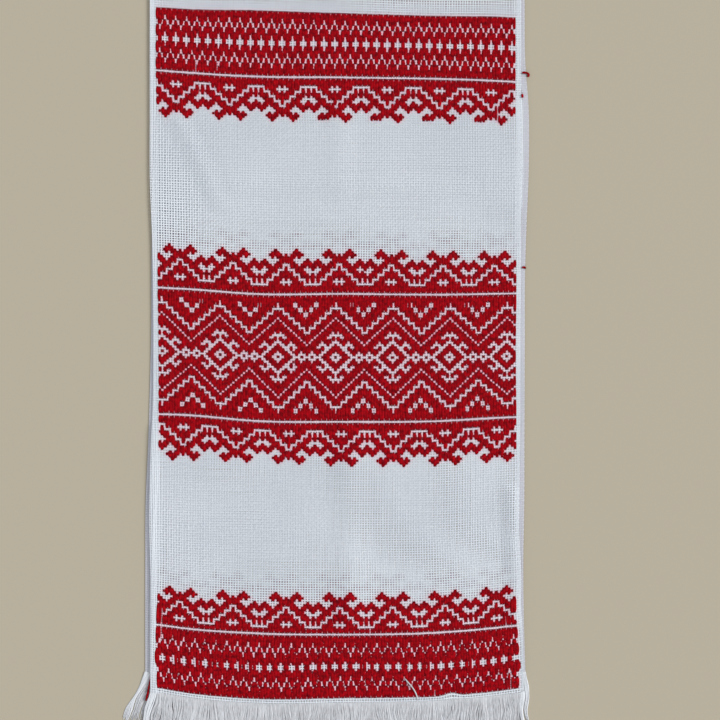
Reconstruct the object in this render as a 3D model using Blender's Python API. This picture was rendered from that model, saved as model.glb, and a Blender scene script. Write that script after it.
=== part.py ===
# Folded woven ritual towel lying flat: two layers of one cloth with a knotless fringe at each end.
# Metres, +X across the cloth, +Y from the fringes to the fold, +Z up. The underside rests at z = 0.

import math
import random

import bmesh
import bpy
from mathutils import Vector

MM = 0.001

# Cloth
SHEET = 1.2 * MM            # thickness of one layer with its woven floats
LAYER_GAP = 0.8 * MM        # air between the two layers
UPPER_LENGTH = 765 * MM     # upper layer, lowest point of its hem to the fold
HEM_OFFSET = 18 * MM        # the lower hem lies this much nearer to the fold
HEM_BOW = 10.5 * MM         # the hem's middle hangs this much below its corners
BOW_FADE = 240 * MM         # distance from the hem over which the bow fades out
COLUMNS = 18                # steps across the cloth
FOLD_STEPS = 6              # steps round the fold

# Fringe
STRIP_DEPTH = 3 * MM        # woven strip that holds the roots of the strands
STRIP_HEIGHT = 1.0 * MM
PART_GAP = 0.3 * MM         # clearance between neighbouring pieces
STRANDS = 100               # locks of yarn along each end
STRAND_SHARE = 0.62         # part of the pitch that a lock fills
TIP_SHARE = 0.55            # width of a lock's tip beside its root
STRANDS_PER_BAY = 10        # locks between two points on the strip's rear edge
LENGTH_SPREAD = 1.5 * MM    # most that a lock's length differs
SWAY = 0.35 * MM            # most that a lock's tip strays
SEED = 7

# Outline of both layers from hem to fold, as distances from the centre line.
# along, upper left, upper right, lower left, lower right
OUTLINE_MM = [
    (-10, -173.5, 172.6, -178.2, 175.9),
    (17, -173.5, 172.6, -178.4, 177.3),
    (55, -173.2, 171.7, -178.4, 175.8),
    (92, -173.0, 169.5, -178.4, 174.5),
    (148, -174.7, 170.5, -178.4, 175.8),
    (213, -174.1, 171.5, -177.3, 176.2),
    (241, -171.8, 171.7, -175.0, 176.2),
    (316, -170.7, 172.2, -173.0, 176.5),
    (400, -171.2, 172.6, -172.5, 176.7),
    (448, -172.8, 172.6, -172.0, 178.7),
    (484, -174.1, 172.8, -171.5, 180.1),
    (535, -174.1, 172.9, -171.5, 180.1),
    (596, -174.1, 172.9, -172.0, 176.3),
    (652, -174.1, 172.9, -173.0, 176.3),
    (765, -174.0, 174.0, -174.0, 174.0),
]

# Soft ridges of the upper layer, each a run from one point to another on the cloth.
# x from, along from, x to, along to, half width, height
RIDGES_MM = [
    (13, 75, 14, 252, 24, 2.2),
    (168, 70, 163, 190, 13, 1.5),
    (-148, 540, -108, 462, 12, 1.6),
    (-95, 479, 120, 476, 16, 0.9),
    (2, 470, 4, 560, 20, 1.2),
    (-60, 690, 40, 650, 30, 1.0),
]

# Stations along a lock, each the distance from the strip and the height of its underside.
# along, underside
UPPER_LOCK_MM = [(0, 2.0), (30, 1.4), (37, 0.0), (50, 0.0)]
LOWER_LOCK_MM = [(0, 0.0), (22, 0.0), (45, 0.0)]

# How far the tips stray sideways, by their share of the way across.
# share, upper drift, lower drift
DRIFT_MM = [
    (0.00, -9.0, -21.0),
    (0.05, -6.0, -15.0),
    (0.12, -2.5, -6.0),
    (0.25, 0.0, 0.0),
    (0.90, 0.0, 0.0),
    (1.00, 1.5, 0.5),
]

UPPER_MID = 1.5 * SHEET + LAYER_GAP     # height of the upper layer's middle surface
LOWER_MID = 0.5 * SHEET


def eased(t):
    t = min(max(t, 0.0), 1.0)
    return t * t * (3 - 2 * t)


def read_table(rows, at, column):
    """Value of a column at a place along the table's first column, eased between rows."""
    if at <= rows[0][0]:
        return rows[0][column]
    for low, high in zip(rows, rows[1:]):
        if at <= high[0]:
            share = eased((at - low[0]) / (high[0] - low[0]))
            return low[column] + share * (high[column] - low[column])
    return rows[-1][column]


def edge(along, upper, right):
    column = (1 if upper else 3) + (1 if right else 0)
    return read_table(OUTLINE_MM, along / MM, column) * MM


def across(along, share, upper):
    left, right = edge(along, upper, False), edge(along, upper, True)
    return left + share * (right - left)


def bowed(along, share):
    """The hem curves: its corners lie nearer to the fold, and the curve fades along the cloth."""
    arch = HEM_BOW * (2 * share - 1) ** 2
    return along + arch * (1 - eased(along / BOW_FADE))


def ridge_height(x, along):
    height = 0.0
    for x0, y0, x1, y1, half_width, top in RIDGES_MM:
        start, end = Vector((x0, y0)) * MM, Vector((x1, y1)) * MM
        run = end - start
        offset = Vector((x, along)) - start
        share = min(max(offset.dot(run) / run.length_squared, 0.0), 1.0)
        reach = (offset - run * share).length / (half_width * MM)
        height += top * MM * (1 - eased(reach))
    return height


def cloth_path():
    """Places along the cloth: lower hem to fold, round the fold, then fold to upper hem."""
    radius = (UPPER_MID - LOWER_MID) / 2
    bend_start = UPPER_LENGTH - radius - SHEET / 2
    path = []
    for along in (0, 17, 55, 92, 148, 241, 316, 400, 484, 535, 596, 652, 720):
        path.append((HEM_OFFSET + along * MM * (1 - HEM_OFFSET / bend_start), LOWER_MID, False))
    for step in range(FOLD_STEPS + 1):
        angle = math.pi * step / FOLD_STEPS - math.pi / 2
        middle = (LOWER_MID + UPPER_MID) / 2
        turned = bend_start + radius * math.cos(angle)
        path.append((turned, middle + radius * math.sin(angle), step * 2 >= FOLD_STEPS))
    steps = 34
    for step in range(1, steps + 1):
        path.append((bend_start * (1 - step / steps), UPPER_MID, True))
    return path


def make_material(name, colour, roughness):
    material = bpy.data.materials.new(name)
    material.use_nodes = True
    shader = material.node_tree.nodes["Principled BSDF"]
    shader.inputs["Base Color"].default_value = (*colour, 1)
    shader.inputs["Roughness"].default_value = roughness
    shader.inputs["Metallic"].default_value = 0.0
    return material


def add_object(name, bm, material):
    mesh = bpy.data.meshes.new(name)
    bm.to_mesh(mesh)
    bm.free()
    mesh.materials.append(material)
    thing = bpy.data.objects.new(name, mesh)
    bpy.context.collection.objects.link(thing)
    return thing


def make_cloth(material):
    """One folded sheet, grown to its thickness by Solidify."""
    bm = bmesh.new()
    rows = []
    for along, height, upper in cloth_path():
        row = []
        for step in range(COLUMNS + 1):
            share = step / COLUMNS
            x = across(along, share, upper)
            lift = ridge_height(x, along) if upper and height >= UPPER_MID - 0.1 * MM else 0.0
            row.append(bm.verts.new((x, bowed(along, share), height + lift)))
        rows.append(row)
    for low, high in zip(rows, rows[1:]):
        for step in range(COLUMNS):
            bm.faces.new((low[step], high[step], high[step + 1], low[step + 1]))
    bmesh.ops.recalc_face_normals(bm, faces=bm.faces)
    cloth = add_object("cloth", bm, material)
    wall = cloth.modifiers.new("thickness", "SOLIDIFY")
    wall.thickness = SHEET
    wall.offset = 0.0
    wall.use_even_offset = True
    return cloth


def make_fringe(name, upper, hem, lock, material):
    """A narrow strip along the hem with its locks drawn out of the front face."""
    chance = random.Random(SEED + upper)
    floor = lock[0][1] * MM
    bm = bmesh.new()

    def post(share, behind):
        x = across(hem, share, upper)
        y = bowed(hem, share) - PART_GAP - (0 if behind else STRIP_DEPTH)
        return [bm.verts.new((x, y, floor + STRIP_HEIGHT)), bm.verts.new((x, y, floor))]

    pitch = 1 / (STRANDS - 1 + STRAND_SHARE)
    fronts = []
    for strand in range(STRANDS):
        fronts.append(post(strand * pitch, False))
        fronts.append(post((strand + STRAND_SHARE) * pitch, False))
    bays = STRANDS // STRANDS_PER_BAY
    corners = [min(2 * STRANDS_PER_BAY * bay, 2 * STRANDS - 1) for bay in range(bays + 1)]
    backs = [post(corner // 2 * pitch if corner < 2 * STRANDS - 1 else 1.0, True)
             for corner in corners]
    for bay in range(bays):
        run = fronts[corners[bay]:corners[bay + 1] + 1]
        for side in (0, 1):
            bm.faces.new([backs[bay + 1][side], backs[bay][side]] + [p[side] for p in run])
        bm.faces.new((*backs[bay], *reversed(backs[bay + 1])))
    for behind, front in ((backs[0], fronts[0]), (backs[-1], fronts[-1])):
        bm.faces.new((*behind, *reversed(front)))
    roots = []
    for place in range(2 * STRANDS - 1):
        face = bm.faces.new((*fronts[place], *reversed(fronts[place + 1])))
        if place % 2 == 0:
            roots.append(face)
    bmesh.ops.recalc_face_normals(bm, faces=bm.faces)

    for strand, root in enumerate(roots):
        share = (strand + STRAND_SHARE / 2) * pitch
        drift = read_table(DRIFT_MM, share, 1 if upper else 2) * MM
        stretch = 1 + chance.uniform(-1, 1) * LENGTH_SPREAD / (lock[-1][0] * MM)
        sway = chance.uniform(-SWAY, SWAY)
        face = root
        for (last, last_floor), (reach, new_floor) in zip(lock, lock[1:]):
            face = bmesh.ops.extrude_discrete_faces(bm, faces=[face])["faces"][0]
            # Only the part of a lock past the bend on the floor has its own length.
            grown = stretch if reach == lock[-1][0] else 1.0
            along_share = reach / lock[-1][0]
            last_share = last / lock[-1][0]
            move = Vector((
                drift * (along_share - last_share) + sway * (along_share - last_share),
                -(reach - last) * MM * grown,
                (new_floor - last_floor) * MM,
            ))
            bmesh.ops.translate(bm, verts=face.verts, vec=move)
            middle = face.calc_center_median()
            width = 1 - (1 - TIP_SHARE) * (reach - last) / lock[-1][0]
            for vert in face.verts:
                vert.co.x = middle.x + (vert.co.x - middle.x) * width
    return add_object(name, bm, material)


def settle(things):
    """Put the middle of the whole towel's footprint over the origin."""
    bpy.context.view_layer.update()
    graph = bpy.context.evaluated_depsgraph_get()
    points = []
    for thing in things:
        shape = thing.evaluated_get(graph).to_mesh()
        points += [thing.matrix_world @ vert.co for vert in shape.vertices]
    middle_x = (min(p.x for p in points) + max(p.x for p in points)) / 2
    middle_y = (min(p.y for p in points) + max(p.y for p in points)) / 2
    for thing in things:
        thing.location = (-middle_x, -middle_y, 0)


def main():
    for thing in list(bpy.data.objects):
        bpy.data.objects.remove(thing, do_unlink=True)
    linen = make_material("white_cloth", (0.80, 0.81, 0.82), 0.9)
    upper_yarn = make_material("upper_fringe_yarn", (0.76, 0.77, 0.78), 0.9)
    lower_yarn = make_material("lower_fringe_yarn", (0.70, 0.71, 0.71), 0.9)
    settle([
        make_cloth(linen),
        make_fringe("fringe_upper", True, 0.0, UPPER_LOCK_MM, upper_yarn),
        make_fringe("fringe_lower", False, HEM_OFFSET, LOWER_LOCK_MM, lower_yarn),
    ])


main()
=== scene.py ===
import math

import bmesh
import bpy
import numpy as np
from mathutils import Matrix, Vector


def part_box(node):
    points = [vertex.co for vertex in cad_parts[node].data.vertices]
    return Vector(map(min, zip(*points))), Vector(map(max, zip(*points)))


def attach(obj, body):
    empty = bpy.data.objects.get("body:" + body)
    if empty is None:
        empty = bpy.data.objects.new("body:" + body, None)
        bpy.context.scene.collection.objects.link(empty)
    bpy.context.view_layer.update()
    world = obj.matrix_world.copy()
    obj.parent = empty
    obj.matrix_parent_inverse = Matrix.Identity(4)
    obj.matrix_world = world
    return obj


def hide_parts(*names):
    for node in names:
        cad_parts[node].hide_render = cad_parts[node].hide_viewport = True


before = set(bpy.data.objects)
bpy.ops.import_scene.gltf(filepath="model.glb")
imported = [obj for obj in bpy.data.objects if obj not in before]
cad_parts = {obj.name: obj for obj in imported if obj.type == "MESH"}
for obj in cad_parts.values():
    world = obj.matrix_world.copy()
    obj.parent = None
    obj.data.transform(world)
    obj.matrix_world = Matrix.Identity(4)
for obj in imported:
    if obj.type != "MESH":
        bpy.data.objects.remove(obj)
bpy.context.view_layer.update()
mm = 0.001

# Cloth positions are counted in the weave: columns of warp from the left edge of the pattern,
# rows of weft from the hem's red edge, and millimetres outwards from the middle of the layer.
towel = {
    "columns": 137,
    "selvedge": 2.2,             # width of a plain edge, in columns
    "edgeWarps": 5,              # warps that lie close together in each edge
    "rows": 333,                 # from the red edge of the hem to the fold
    "hemRow": -2.4,              # where the last pick of the hem ends
    "lastBandRow": 283,          # end of the band near the fold
    "upperHeight": 2.4,          # middle of the upper layer above the floor, mm
    "lowerHeight": 1.05,
    "length": 765,               # lowest point of the hem to the fold, mm
    "lowerHem": 18,              # the lower hem lies this much nearer to the fold, mm
    "foldSlack": 0.3,            # how much before its end the cloth starts to turn, mm
    "seed": 7,
}

# Distance from the hem's lowest point, mm, of the rows named first, at these columns across.
pickColumns = np.array([0.5, 10, 37, 71, 107, 132, 137])
pickTable = np.array([
    (0, 10.0, 5.9, -0.1, 0.6, 2.5, 8.4, 10.2),
    (13, 38.5, 35.2, 29.0, 29.9, 30.5, 37.0, 39.0),
    (26.5, 69.1, 65.7, 60.8, 59.6, 61.7, 67.2, 68.8),
    (44, 106.5, 103.8, 100.1, 99.2, 100.7, 105.6, 106.8),
    (95, 222.8, 222.0, 219.6, 216.4, 216.8, 220.7, 221.5),
    (113.5, 265.4, 264.6, 258.9, 258.1, 258.9, 262.1, 262.6),
    (139.5, 324.6, 323.0, 319.3, 318.2, 318.3, 319.1, 319.3),
    (165.5, 383.4, 382.2, 377.4, 377.6, 376.8, 377.7, 377.9),
    (184, 425.3, 423.8, 420.1, 419.5, 417.9, 417.6, 417.6),
    (234, 542.6, 541.6, 538.8, 537.1, 536.2, 534.6, 534.1),
    (252.5, 586.2, 584.3, 580.3, 579.5, 578.1, 575.9, 575.2),
    (266, 616.3, 614.8, 611.8, 610.4, 608.7, 607.2, 606.6),
    (279, 645.0, 643.3, 641.9, 639.1, 636.7, 635.8, 635.2),
    (333, 765.0, 765.0, 765.0, 765.0, 765.0, 765.0, 765.0),
])
# A small bump in the hem: its height in mm, and how much faster it fades in the strip below.
hemBump = {"column": 110.4, "halfWidth": 2.9, "height": 2.8, "rows": 6, "fasterBelow": 2.4}

# Distance right of the towel's centre line, mm, at the rows named first.
# cloth edge, pattern edge, columns 34, 68 and 103, pattern edge, cloth edge
acrossColumns = np.array([-2.2, 0, 34, 68, 103, 137, 139.2])
upperAcross = np.array([
    (-2.4, -173.5, -167.1, -82.3, 2.9, 89.7, 172.9, 175.2),
    (4, -173.5, -167.1, -82.3, 2.9, 89.7, 172.9, 175.2),
    (18, -173.3, -168.3, -83.0, 2.3, 89.4, 172.5, 174.7),
    (36, -173.3, -167.0, -82.6, 2.2, 88.5, 169.6, 172.8),
    (44, -173.3, -166.5, -82.5, 2.2, 88.3, 170.0, 173.0),
    (69, -174.6, -166.3, -82.5, 1.0, 86.4, 167.8, 170.8),
    (95, -173.6, -165.8, -82.0, 1.3, 86.5, 168.4, 171.6),
    (117, -171.3, -165.6, -82.0, 1.2, 86.2, 168.2, 172.0),
    (139, -170.7, -165.8, -82.2, 0.9, 85.4, 167.8, 172.2),
    (165, -171.0, -166.5, -82.5, 1.5, 86.5, 168.2, 172.5),
    (184, -171.8, -166.7, -82.5, 1.8, 86.6, 168.2, 172.6),
    (209, -174.0, -167.2, -82.8, 1.0, 86.2, 168.0, 172.8),
    (234, -174.1, -167.6, -82.7, 0.6, 86.0, 167.6, 172.9),
    (253, -174.1, -168.2, -83.4, 0.0, 85.8, 167.6, 172.9),
    (279, -174.1, -168.2, -83.4, 0.0, 85.8, 167.6, 172.9),
    (333, -174.0, -168.4, -83.8, -0.4, 85.6, 168.0, 174.0),
])
lowerEdges = np.array([
    (-2.4, -178.4, 177.1), (18, -178.4, 175.7), (44, -178.4, 175.1), (69, -178.1, 176.0),
    (95, -175.6, 176.2), (117, -174.0, 176.3), (139, -172.9, 176.5), (165, -172.6, 176.7),
    (184, -172.2, 177.9), (209, -171.5, 180.1), (234, -171.5, 180.0), (253, -171.9, 176.9),
    (279, -172.8, 176.3), (333, -174.0, 174.0),
])
lowerSelvedge = 5.3  # width of the lower layer's plain edges, mm
lowerDroop = {"width": 7, "depth": 0.45}  # its left edge sinks towards the floor, mm

# Soft ridges of the upper layer, mm: x from, along from, x to, along to, half width, height.
ridges = [
    (11, 75, 12, 252, 24, 1.6),
    (168, 70, 163, 190, 13, 1.5),
    (-148, 540, -108, 462, 15, 0.9),
    (-95, 479, 120, 476, 16, 0.9),
    (2, 470, 4, 560, 20, 1.2),
    (-60, 690, 40, 650, 30, 1.0),
    (-171, -10, -171, 250, 10, 1.0),
]


def eased(t):
    t = np.clip(t, 0, 1)
    return t * t * (3 - 2 * t)


# A smooth curve through the values, straight beyond its ends.
def curveThrough(knots, values, at):
    slopes = np.gradient(values, knots, axis=0)
    inside = np.clip(at, knots[0], knots[-1])
    low = np.clip(np.searchsorted(knots, inside, side="right") - 1, 0, len(knots) - 2)
    gap = (knots[low + 1] - knots[low])[:, None]
    t = (inside - knots[low])[:, None] / gap
    a, b = values[low], values[low + 1]
    bend = (t**3 - 2 * t**2 + t) * gap * slopes[low] + (t**3 - t**2) * gap * slopes[low + 1]
    past = (at - inside)[:, None] * np.where((at < knots[0])[:, None], slopes[0], slopes[-1])
    return a + (3 * t**2 - 2 * t**3) * (b - a) + bend + past


gridStep = 0.5
gridColumns = np.arange(-3, 140.6, gridStep)
gridRows = np.arange(-4, 334, 1.0)


# Distances along and across the cloth, mm, of every place in the grid.
def layerGrids(upper):
    alongRows = curveThrough(pickTable[:, 0], pickTable[:, 1:], gridRows)
    along = curveThrough(pickColumns, alongRows.T, gridColumns)
    if upper:
        bump = np.exp(-((gridColumns - hemBump["column"]) / hemBump["halfWidth"]) ** 2)
        fromHem = np.maximum(gridRows, -hemBump["fasterBelow"] * gridRows)
        along = along + hemBump["height"] * np.outer(bump, eased(1 - fromHem / hemBump["rows"]))
        stations = curveThrough(upperAcross[:, 0], upperAcross[:, 1:], gridRows)
    else:
        nearFold = (gridRows - towel["lastBandRow"]) / (towel["rows"] - towel["lastBandRow"])
        along = along + towel["lowerHem"] * (1 - eased(nearFold))
        edges = curveThrough(lowerEdges[:, 0], lowerEdges[:, 1:], gridRows)
        left, right = edges[:, 0] + lowerSelvedge, edges[:, 1] - lowerSelvedge
        shares = acrossColumns[1:-1] / towel["columns"]
        inner = left[:, None] + shares * (right - left)[:, None]
        stations = np.column_stack([edges[:, 0], inner, edges[:, 1]])
    across = np.array([np.interp(gridColumns, acrossColumns, row) for row in stations]).T
    return along, across


grids = {True: layerGrids(True), False: layerGrids(False)}


def readGrid(grid, u, v):
    a = np.clip((u - gridColumns[0]) / gridStep, 0, len(gridColumns) - 1.001)
    b = np.clip(v - gridRows[0], 0, len(gridRows) - 1.001)
    i, j = a.astype(int), b.astype(int)
    a, b = a - i, b - j
    low = grid[i, j] * (1 - a) + grid[i + 1, j] * a
    high = grid[i, j + 1] * (1 - a) + grid[i + 1, j + 1] * a
    return low * (1 - b) + high * b


def ridgeHeight(x, along):
    height = np.zeros_like(x)
    for x0, y0, x1, y1, halfWidth, top in ridges:
        runX, runY = x1 - x0, y1 - y0
        share = ((x - x0) * runX + (along - y0) * runY) / (runX**2 + runY**2)
        share = np.clip(share, 0, 1)
        reach = np.hypot(x - x0 - share * runX, along - y0 - share * runY) / halfWidth
        height += top * (1 - eased(reach))
    return height


clothLow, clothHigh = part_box("cloth")
centreLine = clothLow.x / mm - lowerEdges[:, 1].min()
hemLine = clothHigh.y / mm - towel["length"]


# Points of the frame, in metres, for places in the weave.
def ontoCloth(u, v, out, upper):
    along, across = (readGrid(grid, u, v) for grid in grids[upper])
    radius = (towel["upperHeight"] - towel["lowerHeight"]) / 2
    foldStart = towel["length"] - radius * math.pi / 2 - towel["foldSlack"]
    turn = np.clip((along - foldStart) / radius, 0, math.pi / 2)
    side = 1 if upper else -1
    y = np.minimum(along, foldStart) + np.sin(turn) * (radius + out)
    z = towel["lowerHeight"] + radius + side * np.cos(turn) * (radius + out)
    if upper:
        z = z + ridgeHeight(across, along)
    else:
        fromEdge = across - readGrid(grids[upper][1], np.full_like(u, -towel["selvedge"]), v)
        z = z - lowerDroop["depth"] * (1 - eased(fromEdge / lowerDroop["width"]))
    return np.stack([across + centreLine, y + hemLine, z], axis=-1) * mm


# A flat grid whose corners are counted across and along, and its faces.
def stripShape(acrossSteps, alongSteps):
    bm = bmesh.new()
    bmesh.ops.create_grid(bm, x_segments=acrossSteps, y_segments=alongSteps, size=1)
    corners = np.array([vert.co[:2] for vert in bm.verts])
    faces = np.array([[vert.index for vert in face.verts] for face in bm.faces])
    bm.free()
    steps = (acrossSteps, alongSteps)
    across, along = np.rint((corners + 1) / 2 * steps).astype(int).T
    return across, along, faces


# Joins strips into one mesh. A batch holds its points, the yarn coordinates of each and its tint, which is
# partly painted shade.
def addPiece(name, batches, material, flip=False):
    points, yarns, tintsAndShades, faces, count = [], [], [], [], 0
    for place, yarn, tintAndShade in batches:
        strips, rings, width = place.shape[:3]
        across, along, quads = stripShape(width - 1, rings - 1)
        points.append(place[:, along, across].reshape(-1, 3))
        yarns.append(yarn[:, along, across].reshape(-1, 3))
        tintAndShade = np.broadcast_to(tintAndShade, place.shape[:3])
        tintsAndShades.append(tintAndShade[:, along, across].ravel())
        starts = count + np.arange(strips)[:, None, None] * len(across)
        faces.append((starts + (quads[:, ::-1] if flip else quads)).reshape(-1, 4))
        count += strips * len(across)
    points, yarns, tintsAndShades, faces = (np.concatenate(x) for x in (points, yarns, tintsAndShades, faces))
    mesh = bpy.data.meshes.new(name)
    mesh.from_pydata(points, [], faces)
    mesh.shade_smooth()
    mesh.attributes.new("yarn", "FLOAT_VECTOR", "POINT").data.foreach_set("vector", yarns.ravel())
    # Tint per point: pink beside red yarn, painted shade on the lower layer and at the floats' ends, paler
    # fringe selvedges.
    mesh.attributes.new("tintAndShade", "FLOAT", "POINT").data.foreach_set("value", tintsAndShades)
    low = points.min(0)
    flat = (points - low)[:, :2] / (points.max(0) - low)[:2].max()
    mesh.uv_layers.new(name="UVMap").data.foreach_set("uv", flat[faces.ravel()].ravel())
    mesh.materials.append(material)
    piece = bpy.data.objects.new(name, mesh)
    bpy.context.scene.collection.objects.link(piece)
    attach(piece, "root")
    print(name, len(faces) * 2, "triangles")
    return piece


def socket(group, name, kind, default=None, isInput=True):
    made = group.interface.new_socket(name, in_out="INPUT" if isInput else "OUTPUT", socket_type=kind)
    if default is not None:
        made.default_value = default


def addMath(group, operation, *values):
    node = group.nodes.new("ShaderNodeMath")
    node.operation = operation
    for place, value in enumerate(values):
        if isinstance(value, (int, float)):
            node.inputs[place].default_value = value
        else:
            group.links.new(value, node.inputs[place])
    return node.outputs[0]


twist = {
    "slant": 0.8,
    "plies": 4.2,
    "plyDepth": 0.35,               # beside the depth of the fibres
    "fibreScale": 3.0,
    "fibreStretch": (1.6, 0.6, 1),  # fibres run along the yarn
    "toneScale": 0.22,              # how fast the tone changes along it
}


# Twisted fibre of a yarn: a bump height, a tone that varies along it, and a mask of its sides, where shade
# is painted.
# The yarn's coordinates are -1 to 1 across it, millimetres along it, and its number.
def makeYarnGroup():
    group = bpy.data.node_groups.new("twistedYarn", "ShaderNodeTree")
    socket(group, "Yarn", "NodeSocketVector")
    socket(group, "Twist", "NodeSocketFloat", twist["slant"])
    socket(group, "Fibre", "NodeSocketFloat", twist["fibreScale"])
    for name in ("Height", "Tone", "Side"):
        socket(group, name, "NodeSocketFloat", isInput=False)
    source = group.nodes.new("NodeGroupInput")
    result = group.nodes.new("NodeGroupOutput")
    parts = group.nodes.new("ShaderNodeSeparateXYZ")
    group.links.new(source.outputs["Yarn"], parts.inputs[0])
    slant = addMath(group, "MULTIPLY_ADD", parts.outputs["X"], source.outputs["Twist"], parts.outputs["Y"])
    ply = addMath(group, "SINE", addMath(group, "MULTIPLY", slant, twist["plies"]))
    stretch = group.nodes.new("ShaderNodeVectorMath")
    stretch.operation = "MULTIPLY"
    stretch.inputs[1].default_value = twist["fibreStretch"]
    group.links.new(source.outputs["Yarn"], stretch.inputs[0])
    fine = group.nodes.new("ShaderNodeTexNoise")
    fine.inputs["Detail"].default_value = 2
    group.links.new(stretch.outputs[0], fine.inputs["Vector"])
    group.links.new(source.outputs["Fibre"], fine.inputs["Scale"])
    height = addMath(group, "MULTIPLY_ADD", ply, twist["plyDepth"], fine.outputs["Fac"])
    slow = group.nodes.new("ShaderNodeTexNoise")
    slow.inputs["Scale"].default_value = twist["toneScale"]
    slow.inputs["Detail"].default_value = 3
    group.links.new(source.outputs["Yarn"], slow.inputs["Vector"])
    group.links.new(height, result.inputs["Height"])
    group.links.new(slow.outputs["Fac"], result.inputs["Tone"])
    # Mask for the painted shade at the yarn's sides: 0 in its middle, 1 at its edges.
    fromMiddle = addMath(group, "ABSOLUTE", parts.outputs["X"])
    group.links.new(addMath(group, "POWER", fromMiddle, 2.0), result.inputs["Side"])
    return group


yarnGroup = makeYarnGroup()


# Mixes two colours, or shades the first by the second where multiply is set.
def mixColour(tree, share, first, second, multiply=False):
    node = tree.nodes.new("ShaderNodeMix")
    node.data_type = "RGBA"
    node.blend_type = "MULTIPLY" if multiply else "MIX"
    tree.links.new(share, node.inputs["Factor"])
    tree.links.new(first, node.inputs["A"])
    node.inputs["B"].default_value = (*second, 1)
    return node.outputs["Result"]


# A yarn whose colour runs from dark to light, with painted shade at its sides, finely fibred.
def yarnMaterial(name, look):
    material = bpy.data.materials.new(name)
    material.use_nodes = True
    tree = material.node_tree
    nodes, link = tree.nodes, tree.links.new
    shader = nodes["Principled BSDF"]
    shader.inputs["Roughness"].default_value = look["roughness"]
    shader.inputs["Sheen Weight"].default_value = look["sheen"]
    shader.inputs["Sheen Roughness"].default_value = 0.5
    shader.inputs["Specular IOR Level"].default_value = look["specular"]
    yarn = nodes.new("ShaderNodeAttribute")
    yarn.attribute_name = "yarn"
    fibre = nodes.new("ShaderNodeGroup")
    fibre.node_tree = yarnGroup
    link(yarn.outputs["Vector"], fibre.inputs["Yarn"])
    place = nodes.new("ShaderNodeTexCoord")
    cloud = nodes.new("ShaderNodeTexNoise")
    cloud.inputs["Scale"].default_value = look["cloudScale"]
    link(place.outputs["Object"], cloud.inputs["Vector"])
    tone = nodes.new("ShaderNodeMix")
    tone.data_type = "FLOAT"
    tone.inputs["Factor"].default_value = look["cloud"]
    link(fibre.outputs["Tone"], tone.inputs["A"])
    link(cloud.outputs["Fac"], tone.inputs["B"])
    tones = nodes.new("ShaderNodeValToRGB")
    for end, position, tint in ((0, 0.36, "dark"), (1, 0.64, "light")):
        tones.color_ramp.elements[end].position = position
        tones.color_ramp.elements[end].color = (*look[tint], 1)
    link(tone.outputs["Result"], tones.inputs["Fac"])
    # Painted shade: the side colour darkens the yarn towards its sides.
    colour = mixColour(tree, fibre.outputs["Side"], tones.outputs["Color"], look["side"], multiply=True)
    # A second tint, read from an attribute: pink on the white cloth, painted shade on the lower layer's
    # back and at the floats' ends, paler yarn in the fringe's selvedges.
    tintAndShade = nodes.new("ShaderNodeAttribute")
    tintAndShade.attribute_name = "tintAndShade"
    colour = mixColour(tree, tintAndShade.outputs["Fac"], colour, look["tintAndShade"])
    link(colour, shader.inputs["Base Color"])
    bump = nodes.new("ShaderNodeBump")
    bump.inputs["Strength"].default_value = look["bump"]
    bump.inputs["Distance"].default_value = 0.1 * mm
    link(fibre.outputs["Height"], bump.inputs["Height"])
    link(bump.outputs["Normal"], shader.inputs["Normal"])
    return material


# Each side colour is a painted shade multiplied in at the yarn's sides.
looks = {
    "whiteLinen": {
        "dark": (0.75, 0.78, 0.81), "light": (0.885, 0.905, 0.92), "side": (0.50, 0.52, 0.55),
        "tintAndShade": (0.88, 0.42, 0.50), "roughness": 0.85, "sheen": 0.1, "specular": 0.15,
        "bump": 0.5, "cloud": 0.4, "cloudScale": 9,
    },
    # The red yarn's second tint is a painted shade at the floats' ends.
    "redYarn": {
        "dark": (0.13, 0.0006, 0.003), "light": (0.42, 0.0015, 0.006), "side": (0.84, 0.7, 0.8),
        "tintAndShade": (0.09, 0.001, 0.008), "roughness": 0.8, "sheen": 0.0, "specular": 0.06,
        "bump": 0.7, "cloud": 0.6, "cloudScale": 330,
    },
    "fringeYarn": {
        "dark": (0.48, 0.48, 0.48), "light": (0.66, 0.665, 0.68), "side": (0.75, 0.75, 0.76),
        "tintAndShade": (0.74, 0.76, 0.78), "roughness": 0.85, "sheen": 0.1, "specular": 0.15,
        "bump": 0.6, "cloud": 0.3, "cloudScale": 60,
    },
}
# The lower layer's back: painted grey shade where the floats lie behind it, and painted shadow at its
# selvedges.
looks["shadedLinenBack"] = looks["whiteLinen"] | {"tintAndShade": (0.27, 0.20, 0.25)}
whiteLinen = yarnMaterial("whiteLinen", looks["whiteLinen"])
shadedLinenBack = yarnMaterial("shadedLinenBack", looks["shadedLinenBack"])
redYarn = yarnMaterial("redYarn", looks["redYarn"])
fringeYarn = yarnMaterial("fringeYarn", looks["fringeYarn"])
chance = np.random.default_rng(towel["seed"])

# The traditional pattern, charted. R is a red cell and a dot is plain cloth.
# Half a repeat of the toothed border, from the tips of the teeth to the line.
toothRows = """
....R......  ...RRR.....  R.RRRRR....  RRRR.R.....  RRR.....R..  RRRR...RRR.
..RRR.RRRRR  R.RRRRRR.RR  R...RRR...R  RRR.RRRR...  RRR...RRR.R  RRRRR.RRRRR
R.RRR...R.R  ...RRRR.R.R  R.RRRRR....  RRRRRRRRRRR  RRRRRRRRRRR  RRRRRRRRRRR
""".split()
# White cells of the narrow block by row from the line, in a repeat of four columns.
blockRows = {4: (2,), 5: (2,), 6: (1, 3), 7: (1, 3), 8: (0,), 9: (0,), 12: (2,), 13: (1, 2, 3)}
tallCross = {11: (2,)}  # the crosses near the fold are two rows taller
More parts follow.
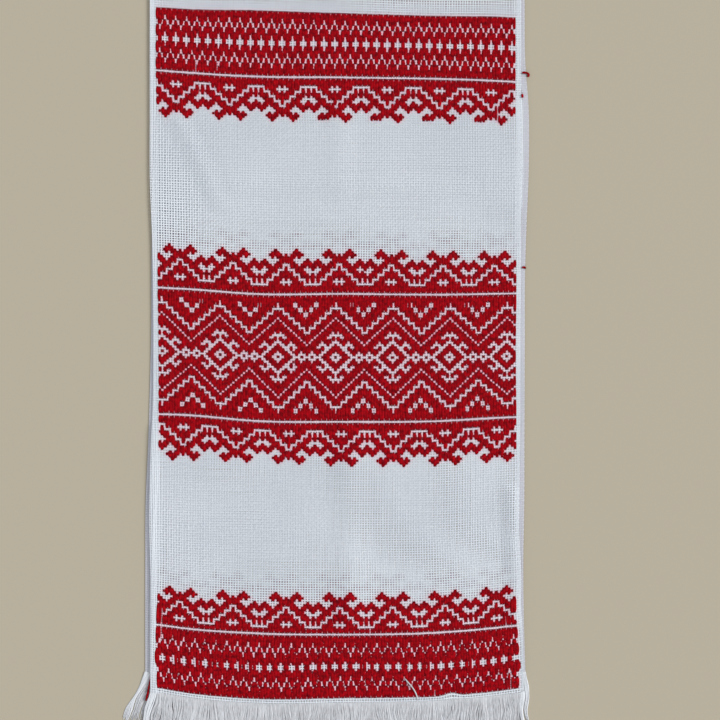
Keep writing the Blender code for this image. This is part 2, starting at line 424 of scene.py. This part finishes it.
# White cells of half a diamond repeat, by rows away from the middle row of the wide band.
diamondRows = {
    0: (1, 2, 6, 7, 8, 10, 11), 1: (0, 1, 8, 9, 10), 2: (0, 9),
    4: (4, 6, 7), 5: (4, 5, 6), 6: (5,), 8: (0, 2, 3), 9: (0, 1, 2),
    10: (1, 10, 11), 11: (10,), 12: (8, 9, 10), 13: (8,), 14: (6, 7, 8), 15: (6,),
    16: (4, 5, 6), 17: (4,), 18: (2, 3, 4), 19: (2,), 20: (0, 1, 2), 21: (0,), 22: (0,),
}
# Pairs of columns from the middle of the gap between diamonds, and the rows of their dots.
dotPlaces = {-5: 21, -3: 19, -1: 17, 1: 19, 3: 21}
# First rows of the borders, blocks, lines and the wide field's middle, counted from the hem.
bands = {
    "hemLine": 26, "hemTips": 43, "wideTips": 95, "wideMiddle": 139, "wideEnd": 183,
    "foldTips": 234, "foldLine": 252,
}
# Slips of the weaver: single cells that are red or white against the chart.
redSlips = [
    (66, 240), (66, 241), (0, 35), (1, 35), (0, 34), (1, 31), (1, 30), (1, 29), (0, 29), (135, 35),
    (77, 173), (77, 174),
]
whiteSlips = [(51, 136), (51, 142)]
# Dots of the wide band that are half lost, as first column and how many columns are red.
faintDots = {16: 2, 38: 2, 73: 2, 95: 1, 117: 1}
faintRows = (160, 162)
# Crosses of the block at the hem that lack an arm, by their number from the left.
lostArms = {1: 1, 3: 1, 5: -1, 7: 1, 8: 1, 19: -1, 25: -1, 29: -1}
armRows = (12, 14)


def isRedTooth(column, row):
    fromAxis = (column - 8) % 20
    return toothRows[row][min(fromAxis, 20 - fromAxis)] == "R"


def isRedBlock(column, row, rows):
    return column % 4 not in rows.get(min(row, 27 - row), ())


def isRedField(column, row):
    away, fromAxis = abs(row), (column - 1) % 22
    step = min(fromAxis, 22 - fromAxis)
    if step + away in (6, 7) or away == 16 - step or step in diamondRows.get(away, ()):
        return False
    fromGap = (column - 1 - (column < 44)) % 22 - 11
    return not any(fromGap - left in (0, 1) and away - near in (0, 1) for left, near in dotPlaces.items())


# The left tooth of a pair has a flat foot in the right part of the border near the fold.
def isRedFoot(column, row):
    fromAxis = (column + 1 - 8) % 20 - 20
    if column < 58 or fromAxis < -7 or row > 1:
        return isRedTooth(column + 1, row)
    return row == 1 and -6 <= fromAxis <= -3


# Which cells of the cloth are red: columns by rows.
def chart():
    red = np.zeros((towel["columns"], towel["rows"]), bool)
    for column in range(towel["columns"]):
        for t in range(17):
            red[column, bands["hemTips"] - t] = isRedTooth(column, t)
        for t in range(18):
            red[column, bands["wideTips"] + t] = isRedTooth(column - 1, t)
            red[column, bands["wideEnd"] - t] = isRedTooth(column, t)
            red[column, bands["foldTips"] + t] = isRedFoot(column, t)
        for t in range(1, 27):
            red[column, bands["hemLine"] - t] = isRedBlock(column, t, blockRows)
            red[column, bands["foldLine"] + t] = isRedBlock(column - 1, t, blockRows | tallCross)
        for row in range(-25, 26):
            red[column, bands["wideMiddle"] + row] = isRedField(column, row)
    red[-1, :bands["hemTips"] + 1] = False
    for column, filled in faintDots.items():
        red[column:column + filled, faintRows[0]:faintRows[1]] = True
    for cross, side in lostArms.items():
        red[4 * cross + 2 + side, armRows[0]:armRows[1]] = True
    for cells, value in ((redSlips, True), (whiteSlips, False)):
        for column, row in cells:
            red[column, row] = value
    return red


pattern = chart()
# How much red lies around each cell, from 0 to 1: steps to a neighbour, and how much it counts.
neighbours = ((0, 0, 0.2), (1, 0, 0.25), (-1, 0, 0.25), (0, 1, 0.15), (0, -1, 0.15))
framed = np.pad(pattern, 1).astype(float)
redAround = sum(np.roll(framed, (a, b), (0, 1)) * weight for a, b, weight in neighbours)[1:-1, 1:-1]

# Ground cloth: one over, one under, with small holes between the bundles of thread.
ground = {
    "warpWidth": (0.70, 0.48),      # of a column, in the lower layer and the upper
    "pickWidth": (0.72, 0.48),      # of a row
    "edgeWarpWidth": (1.0, 0.77),   # of the pitch in the selvedges
    "crimp": 0.22,          # how far a thread rises and sinks, mm
    "roundness": 0.16,      # height of a thread's crown, mm
    "wander": 0.10,         # how far a thread strays, of a column or row
    "cuts": (69, 209),      # rows where the upper layer is divided into pieces
    "lowerCut": 139,
    "stainUpper": 1.2,      # how pink the cloth is beside the red yarn
    "paintedShadeLower": 0.8,      # painted shade: how grey the lower layer is behind its pattern
    "paintedShadowEdge": 0.32,      # painted shadow: how grey it is at its selvedges
}
edgePitch = towel["selvedge"] / towel["edgeWarps"]
leftEdge = -towel["selvedge"] + edgePitch * (np.arange(towel["edgeWarps"]) + 0.5)
middles = np.arange(towel["columns"]) + 0.5
warpPlaces = np.concatenate([leftEdge, middles, towel["columns"] - leftEdge[::-1]])
inEdge = (warpPlaces < 0) | (warpPlaces > towel["columns"])
strays = chance.uniform(0, 2 * math.pi, (3, 520))
rates = chance.uniform(0.6, 1.4, (2, 520))


# How far a thread wanders from its line, between -1 and 1.
def stray(thread, at):
    slow = np.sin(at * 0.045 * rates[0, thread] + strays[0, thread])
    return 0.6 * slow + 0.4 * np.sin(at * 0.17 * rates[1, thread] + strays[1, thread])


# Points across a strip: its middle line, half width and crown at each ring.
def roofed(middle, half, height, out, steps):
    share = np.linspace(-1, 1, steps + 1)
    sides = middle[..., None] + half[..., None] * share
    crown = out[..., None] + height * (1 - share**2) - height / 2
    return sides, crown, np.broadcast_to(share, sides.shape)


# At places in the weave: how pink the upper cloth is beside red yarn, and on the lower layer a painted
# shade where red yarn lies behind it and a painted shadow at its selvedges.
def tintAndShadeAt(u, v, upper):
    column = np.clip(u.astype(int), 0, towel["columns"] - 1)
    row = np.clip(v.astype(int), 0, towel["rows"] - 1)
    inner = (u > 0) & (u < towel["columns"])
    near = redAround[column, row] * inner * (v > 0)
    if upper:
        return ground["stainUpper"] * near
    return np.where(inner, ground["paintedShadeLower"] * near, ground["paintedShadowEdge"])


# Warps from one row to another, with a ring at every crossing.
def warpBatch(first, last, upper, steps):
    rows = np.arange(math.ceil(first), math.floor(last))
    places = np.concatenate([[first], rows + 0.5, [last]])
    sign = np.concatenate([[0], 1 - 2 * (rows % 2), [0 if last < towel["rows"] else 1]])
    if last == towel["rows"]:  # a ring half way round the fold
        places = np.insert(places, -1, last - 0.25)
        sign = np.insert(sign, -1, 0)
    number = np.arange(len(warpPlaces))[:, None]
    out = ground["crimp"] * sign * (1 - 2 * (number % 2))
    middle = warpPlaces[:, None] + ground["wander"] * stray(number, places)
    width = np.where(inEdge, edgePitch * ground["edgeWarpWidth"][upper], ground["warpWidth"][upper])
    half = np.broadcast_to(width[:, None] / 2, middle.shape)
    u, w, side = roofed(middle, half, ground["roundness"] if steps > 1 else 0, out, steps)
    v = np.broadcast_to(places[None, :, None], u.shape)
    yarn = np.stack([side, v * 2.3, np.broadcast_to(number[:, :, None] * 3.7, u.shape)], -1)
    return ontoCloth(u, v, w, upper), yarn, tintAndShadeAt(u, v, upper)


# Picks of weft between two rows, from edge to edge.
def pickBatch(first, last, upper, steps):
    rows = np.arange(math.ceil(first), math.floor(last))[:, None]
    ends = -towel["selvedge"] - 0.08, towel["columns"] + towel["selvedge"] + 0.08
    places = np.concatenate([[ends[0]], warpPlaces, [ends[1]]])
    sign = np.concatenate([[0], 1 - 2 * (np.arange(len(warpPlaces)) % 2), [0]])
    out = -ground["crimp"] * sign * (1 - 2 * (rows % 2))
    middle = rows + 0.5 + ground["wander"] * stray(rows + 160, places)
    half = np.full(middle.shape, ground["pickWidth"][upper] / 2)
    v, w, side = roofed(middle, -half, ground["roundness"] if steps > 1 else 0, out, steps)
    u = np.broadcast_to(places[None, :, None], v.shape)
    yarn = np.stack([side, u * 2.4, np.broadcast_to(rows[:, :, None] * 5.3 + 900, v.shape)], -1)
    return ontoCloth(u, v, w, upper), yarn, tintAndShadeAt(u, v, upper)


def addCloth(name, first, last, upper):
    steps = 2 if upper else 1
    batches = [warpBatch(first, last, upper, steps), pickBatch(first, last, upper, steps)]
    return addPiece(name, batches, whiteLinen if upper else shadedLinenBack, flip=not upper)


hem, fold = towel["hemRow"], towel["rows"]
upperCloth = [
    addCloth("cloth_upper_end", hem, ground["cuts"][0], True),
    addCloth("cloth_upper_middle", ground["cuts"][0], ground["cuts"][1], True),
    addCloth("cloth_upper_fold", ground["cuts"][1], fold, True),
]
lowerCloth = [
    addCloth("cloth_lower_end", hem, ground["lowerCut"], False),
    addCloth("cloth_lower_fold", ground["lowerCut"], fold, False),
]

# Floats of pattern yarn, one over each run of red cells in a column.
floats = {
    "snug": 0.60,        # half width beside another float, of a column
    "outer": 0.50,       # at the edge of the pattern
    "loose": 0.69,       # least half width where it spreads over plain cloth
    "spread": 0.36,      # most that it spreads further
    "hemSpread": 0.75,   # the same in the block at the hem
    "sliver": 0.34,      # half width beside a gap
    "height": 0.34,      # mm, of a short float
    "rise": 0.018,       # more for every row of its length
    "root": 0.14,        # where its sides meet the cloth, mm
    "overrun": 0.08,     # past the last cell, of a row
    "taper": ((0.32, 0.60), (0.62, 0.80), (0.74, 0.96)),  # first rings: between pairs, in a pair
    "uneven": 0.12,      # how much the ends differ, of a row
    "unevenHeight": 0.22,
    "paintedEndShade": 0.75,    # painted shade at the ends, where they dive into the cloth, from 0 to 1
    "endShadeReach": 0.9,    # how far the painted end shade reaches, of a row
    "slope": 1.5,        # rows that a float takes to rise from the cloth
    "edgeBulge": 0.12,   # of the floats in the outermost columns
}
# Floats that swell outwards, as column, first row and part of a column.
swollenFloats = [(0, 9, 0.4), (135, 9, 0.3)]
# Gaps where the cloth shows between two floats: column right of it, first row, last row.
gaps = [
    (130, 234, 241), (2, 20, 33), (80, 27, 29), (132, 27, 30), (104, 0, 2), (133, 0, 7),
    (15, 253, 257), (23, 254, 257),
]
for column, filled in faintDots.items():
    gaps += [(column + step, faintRows[0], faintRows[1] - 1) for step in range(filled)]
for cross, side in lostArms.items():
    gaps.append((4 * cross + (4 if side > 0 else 1), armRows[0], armRows[1] - 1))


# Column, first row and length of every run of red cells.
def runsOf(red):
    edged = np.pad(red, ((0, 0), (1, 1))).astype(np.int8)
    change = np.diff(edged, axis=1)
    column, first = np.nonzero(change == 1)
    last = np.nonzero(change == -1)[1]
    return column, first, last - first


# Places along a float of so many rows, from its first row, and how wide it is there.
def floatRings(long, coarse):
    over = floats["overrun"]
    if coarse:
        return np.array([-over, 0.4, long - 0.4, long + over]), np.array([[0.5, 1, 1, 0.5]] * 2)
    start, end = [-over, 0.28, 0.85], [long - 0.85, long - 0.28, long + over]
    if long == 1:
        start, end = start[:2], end[1:]
    elif long == 2:
        start, end = start[:2] + [1.0], end[1:]
    inner = list(np.arange(1.5, long - 1.4))
    places = np.array(start + (inner if long > 2 else []) + end)
    width = np.ones((2, len(places)))  # between pairs of floats, and inside a pair
    for ring, shares in enumerate(floats["taper"][:3 if long > 3 else 2]):
        width[:, ring] = width[:, -1 - ring] = shares
    return places, width


# The floats that start between two rows, one batch for every length.
def floatBatches(red, rows, upper, steps):
    column, first, length = runsOf(red)
    inside = (first >= rows[0]) & (first < rows[1])
    column, first, length = column[inside], first[inside], length[inside]
    beside = np.pad(red, ((1, 1), (0, 0)))
    parted = np.zeros((towel["columns"] + 1, towel["rows"]), bool)
    for gap, low, high in gaps:
        parted[gap, low:high + 1] = True
    swollen = {(at, low): swell for at, low, swell in swollenFloats}
    batches = []
    for long in np.unique(length):
        pick = length == long
        at, start = column[pick][:, None], first[pick][:, None]
        swell = np.array([swollen.get(place, 0) for place in zip(at[:, 0], start[:, 0])])[:, None]
        rings, share = floatRings(long, not upper)
        row = start + np.clip(np.floor(rings), 0, long - 1).astype(int)
        uneven = chance.uniform(-1, 1, (6, len(at), 1))
        v = start + rings
        v[:, :1] += floats["uneven"] * uneven[0]
        v[:, -1:] += floats["uneven"] * uneven[1]
        bow = np.sin(math.pi * (rings + 0.2) / (long + 0.4)) * min(long / 6, 1)
        outer = np.where(at == 0, -1, 0) + np.where(at == towel["columns"] - 1, 1, 0)
        middle = at + 0.5 + ground["wander"] * 0.4 * stray(at + towel["edgeWarps"], v)
        middle = middle + bow * (0.03 * uneven[2] + floats["edgeBulge"] * outer)
        sides = []
        for away, border, edge in ((0, at, 0), (2, at + 1, towel["columns"])):
            spread = np.where(start < bands["hemLine"], floats["hemSpread"], floats["spread"])
            spread = spread * uneven[3 + away // 2] ** 2
            width = np.where(beside[at + away, row], floats["snug"], floats["loose"] + spread)
            width = np.where(border == edge, floats["outer"] + bow * swell, width)
            width = np.where(parted[border, row], floats["sliver"], width)
            sides.append(width * np.where(border % 2, share[1], share[0]))
        crown = floats["height"] + floats["rise"] * min(long, 9)
        fromEnd = np.minimum(rings + floats["overrun"], long + floats["overrun"] - rings)
        risen = np.sin(np.minimum(fromEnd / floats["slope"], 1) * math.pi / 2)
        height = crown * (0.1 + 0.9 * risen)
        height = height * (1 + floats["unevenHeight"] * uneven[5])
        angle = np.linspace(math.pi, 0, steps + 1)
        reach = np.cos(angle)
        u = middle[..., None] + np.where(reach < 0, sides[0][..., None], sides[1][..., None]) * reach
        w = floats["root"] + height[..., None] * np.sin(angle)
        v = np.broadcast_to(v[..., None], u.shape)
        number = np.broadcast_to((at * 7.3 + start * 1.9)[..., None], u.shape)
        yarn = np.stack([np.broadcast_to(reach, u.shape), v * 2.3, number], -1)
        # Painted shade on the float's ends, where they dive into the cloth.
        tintAndShade = floats["paintedEndShade"] * (1 - eased(fromEnd / floats["endShadeReach"]))[..., None]
        batches.append((ontoCloth(u, v, w, upper), yarn, tintAndShade))
    return batches


# Loose ends of yarn: distance right of the centre line, distance from the hem and height, mm.
redEnds = {
    "fold": [
        [
            (173.2, 583.8, 2.8), (176.2, 584.0, 2.6), (179.2, 583.2, 1.8),
            (179.9, 581.3, 1.6), (178.3, 580.5, 1.5),
        ],
        [(173.3, 564.2, 2.5), (173.9, 562.2, 2.8), (173.6, 560.4, 2.5)],
    ],
    "middle": [[(173.6, 402.0, 2.7), (175.4, 402.4, 2.0), (177.4, 401.4, 1.4)]],
    "end": [[(-172.5, 20, 1.5), (-174.3, 12, 1.7), (-176.0, 3.5, 1.9), (-177.6, -2.5, 1.7)]],
}
looseEnd = {"radius": 1.0, "whiteRadius": 0.6, "sides": 6, "ringsPerPoint": 5}  # mm
# The white thread that lies over the block at the hem.
strayThread = [
    (64, 19, 3.0), (67, 15.5, 3.7), (70.5, 11.5, 3.8), (73.5, 7, 3.8), (75.4, 2.5, 3.3), (76.2, -2, 2.7),
]


# A round yarn along a smooth curve through its points, closed at its tips.
def yarnAlong(points, radius, number):
    points = np.array(points, float)
    knots = np.arange(len(points), dtype=float)
    at = np.linspace(0, len(points) - 1, looseEnd["ringsPerPoint"] * len(points))
    path = curveThrough(knots, points, at)
    heading = np.gradient(path, axis=0)
    heading /= np.linalg.norm(heading, axis=1)[:, None]
    aside = np.cross(heading, (0, 0, 1))
    aside /= np.linalg.norm(aside, axis=1)[:, None]
    over = np.cross(aside, heading)
    thick = radius * np.sqrt(np.clip(1 - np.linspace(-1, 1, len(at)) ** 8, 0.001, 1))
    angle = np.linspace(0, 2 * math.pi, looseEnd["sides"] + 1)
    rim = aside[:, None] * np.cos(angle)[:, None] + over[:, None] * np.sin(angle)[:, None]
    place = path[:, None] + thick[:, None, None] * rim + (centreLine, hemLine, 0)
    place[..., 2] = np.maximum(place[..., 2], 0.03)
    side = np.broadcast_to(np.cos(angle), place.shape[:2])
    along = np.broadcast_to(at[:, None] * 4, side.shape)
    yarn = np.stack([side, along, np.full(side.shape, number)], -1)
    return place[None, :, ::-1] * mm, yarn[None], 0.0


redBands = {"end": (0, 60), "middle": (90, 190), "fold": (230, 290)}
for band, rows in redBands.items():
    batches = floatBatches(pattern, rows, True, 4)
    batches += [yarnAlong(end, looseEnd["radius"], 40 + n) for n, end in enumerate(redEnds[band])]
    addPiece("pattern_upper_" + band, batches, redYarn)
lowerPattern = addPiece(
    "pattern_lower", floatBatches(pattern, (0, 300), False, 3), redYarn, flip=True)

# Fringe: the warp ends beyond the last pick, lying loose.
fringe = {
    "yarnsPerWarp": 5,
    "steps": 9,         # rings along a yarn
    "width": 0.58,      # half width of a yarn, mm
    "height": 0.5,      # mm
    "spread": 2.5,      # how much the lengths differ, mm
    "sway": 1.7,        # how far the tips of a bundle stray, mm
    "wave": 0.35,       # how far a yarn waves, mm
    "wavePace": 0.32,   # turn for every mm
    "curl": 1.3,        # how far whole clumps of bundles wave, mm
    "curlPace": 0.15,
    "paler": 0.8,       # how much lighter the yarns of the selvedges are
    "lengths": (44, 48),  # lower and upper, mm
}
# Height of a yarn's middle above the floor by the distance from its root, mm.
upperPath = np.array([(0, 2.5), (12, 2.3), (25, 1.9), (33, 1.3), (40, 0.6), (60, 0.5)])
lowerPath = np.array([(0, 1.05), (6, 0.7), (14, 0.35), (60, 0.35)])
# Share of the way across, and how far the tips of the upper and lower fringe drift there, mm.
drift = np.array([
    (0, -9, -21), (0.05, -6, -15), (0.12, -2.5, -6), (0.25, 0, 0), (0.9, 0, 0), (1, 1.5, 0.5),
])


# Yarns of one fringe, whose height above the floor follows the path.
def fringeBatch(upper, path):
    rings = np.linspace(0, 1, fringe["steps"] + 1)
    number = fringe["yarnsPerWarp"]
    shifts = (np.arange(number) + 0.5) / number - 0.5
    reach = np.where(inEdge, edgePitch, 1.0)
    u = (warpPlaces[:, None] + shifts * reach[:, None]).ravel()
    bundle = np.repeat(np.arange(len(warpPlaces)), number)
    root = ontoCloth(u, np.full(len(u), towel["hemRow"] + 0.5), np.zeros(len(u)), upper) / mm
    uneven = chance.uniform(-1, 1, (6, len(u)))
    bundleSway = chance.uniform(-1, 1, (2, len(warpPlaces)))
    share = u / towel["columns"]
    side = np.interp(share, drift[:, 0], drift[:, 1 if upper else 2])
    tip = side + fringe["sway"] * (0.7 * bundleSway[0, bundle] + 0.5 * uneven[0])
    long = fringe["lengths"][upper] + fringe["spread"] * (uneven[1] + 0.6 * bundleSway[1, bundle])
    away = rings * long[:, None]
    turns = away * fringe["wavePace"] + (bundle * 0.9 + uneven[2] * 1.2)[:, None]
    x = root[:, 0:1] + tip[:, None] * rings**1.05
    x = x + fringe["wave"] * (np.sin(turns) - np.sin(turns[:, :1])) * np.minimum(away / 8, 1)
    clump = 1.7 * np.sin(u * 0.31 + 3 * upper) + 1.3 * np.sin(u * 0.73 + 1.9)
    curl = np.sin(away * fringe["curlPace"] + clump[:, None]) - np.sin(clump)[:, None]
    x = x + fringe["curl"] * curl * np.minimum(away / 15, 1)
    y = root[:, 1:2] - away
    level = np.interp(away, path[:, 0], path[:, 1]) + 0.3 * uneven[3][:, None] * np.minimum(away / 6, 1)
    level = np.maximum(level, 0.05)
    half = fringe["width"] * (1 + 0.15 * uneven[4])[:, None] * (1 - 0.5 * rings**6)
    angle = np.linspace(math.pi, 0, 4)
    px = x[..., None] + half[..., None] * np.cos(angle)
    pz = level[..., None] + fringe["height"] * np.sin(angle) - fringe["height"] / 2
    py = np.broadcast_to(y[..., None], px.shape)
    across = np.broadcast_to(np.cos(angle), px.shape)
    yarnNumber = np.broadcast_to((np.arange(len(u)) * 2.9)[:, None, None], px.shape)
    yarn = np.stack([across, py, yarnNumber], -1)
    points = np.stack([px, py, np.maximum(pz, 0.02)], -1) * mm
    paler = fringe["paler"] * inEdge[bundle][:, None, None] * (1 - 0.4 * rings)[:, None]
    return points[:, :, ::-1], yarn[:, :, ::-1], paler


upperFringe = addPiece(
    "fringe_yarns_upper",
    [fringeBatch(True, upperPath), yarnAlong(strayThread, looseEnd["whiteRadius"], 90)],
    fringeYarn,
)
lowerFringe = addPiece(
    "fringe_yarns_lower", [fringeBatch(False, lowerPath)], fringeYarn)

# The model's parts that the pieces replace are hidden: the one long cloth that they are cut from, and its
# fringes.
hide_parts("cloth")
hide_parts("fringe_upper")
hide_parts("fringe_lower")

# Floor, light and camera.
room = {
    "floorColour": (0.435, 0.382, 0.285),
    "floorHalf": 3,             # m
    "sunStrength": 2.75,
    "sunFrom": (1.0, 0.25, 0.68),
    "sunAngle": 22,             # degrees, for soft shadows
    "skyColour": (0.92, 0.96, 1.03),
    "skyStrength": 0.66,
}
bm = bmesh.new()
bmesh.ops.create_grid(bm, x_segments=1, y_segments=1, size=room["floorHalf"])
floorMesh = bpy.data.meshes.new("floor")
bm.to_mesh(floorMesh)
bm.free()
floorMaterial = bpy.data.materials.new("paleFloor")
floorMaterial.use_nodes = True
floorShader = floorMaterial.node_tree.nodes["Principled BSDF"]
floorShader.inputs["Base Color"].default_value = (*room["floorColour"], 1)
floorShader.inputs["Roughness"].default_value = 0.7
floorShader.inputs["Specular IOR Level"].default_value = 0.2
floorMesh.materials.append(floorMaterial)
floor = bpy.data.objects.new("floor", floorMesh)
bpy.context.scene.collection.objects.link(floor)

sunData = bpy.data.lights.new("sun", "SUN")
sunData.energy = room["sunStrength"]
sunData.angle = math.radians(room["sunAngle"])
sun = bpy.data.objects.new("sun", sunData)
sun.location = room["sunFrom"]
sun.rotation_euler = sun.location.to_track_quat("Z", "Y").to_euler()
bpy.context.scene.collection.objects.link(sun)

bpy.context.scene.view_settings.view_transform = "Standard"
world = bpy.data.worlds.new("softSky")
bpy.context.scene.world = world
world.use_nodes = True
background = world.node_tree.nodes["Background"]
background.inputs["Color"].default_value = (*room["skyColour"], 1)
background.inputs["Strength"].default_value = room["skyStrength"]

# Where the towel's centre line and hem lie in the picture, in pixels, and the camera's height, m.
photo = {"millimetresPerPixel": 0.933, "size": 720, "centreX": 336, "hemLine": 698.5, "height": 1.6}
scale = photo["millimetresPerPixel"] * mm
cameraData = bpy.data.cameras.new("camera")
cameraData.sensor_width = 36
distance = photo["height"] - towel["upperHeight"] * mm
cameraData.lens = cameraData.sensor_width * distance / (photo["size"] * scale)
camera = bpy.data.objects.new("camera", cameraData)
camera.location = (
    (photo["size"] / 2 - photo["centreX"]) * scale + centreLine * mm,
    (photo["hemLine"] - photo["size"] / 2) * scale + hemLine * mm,
    photo["height"],
)
bpy.context.scene.collection.objects.link(camera)
bpy.context.scene.camera = camera

print("towel finished")
